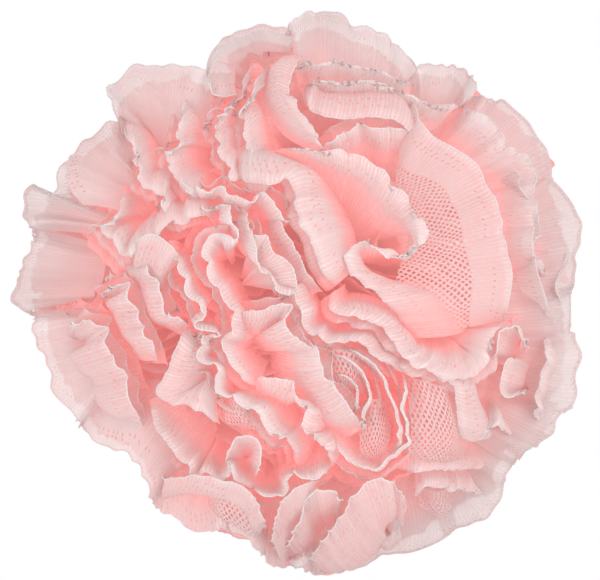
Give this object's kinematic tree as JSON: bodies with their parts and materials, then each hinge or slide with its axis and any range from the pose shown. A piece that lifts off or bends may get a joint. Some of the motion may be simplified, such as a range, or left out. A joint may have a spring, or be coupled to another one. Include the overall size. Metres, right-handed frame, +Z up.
{
  "type": "mesh bath pouf",
  "caption": "round bath pouf of one knitted lace strip gathered into a ball of close ruffles on a knotted cord",
  "frame": {"origin": "on the surface that the pouf rests on, under the middle of its box", "axes": "+X along the width, which is the longest side; -Y is the front with the whorl of ruffles that the picture shows; +Z up, the shortest side, because the underside is flattened where the pouf rests"},
  "size_m": [0.1276, 0.1252, 0.1201],
  "materials": {
    "lace": "soft knitted nylon lace, light pink, with eyelet rows and a paler looped edge",
    "cord": "twisted pale pink polyester cord"
  },
  "bodies": {
    "root": {"lace_strip": "lace", "gathering_cord": "cord"}
  },
  "joints": []
}
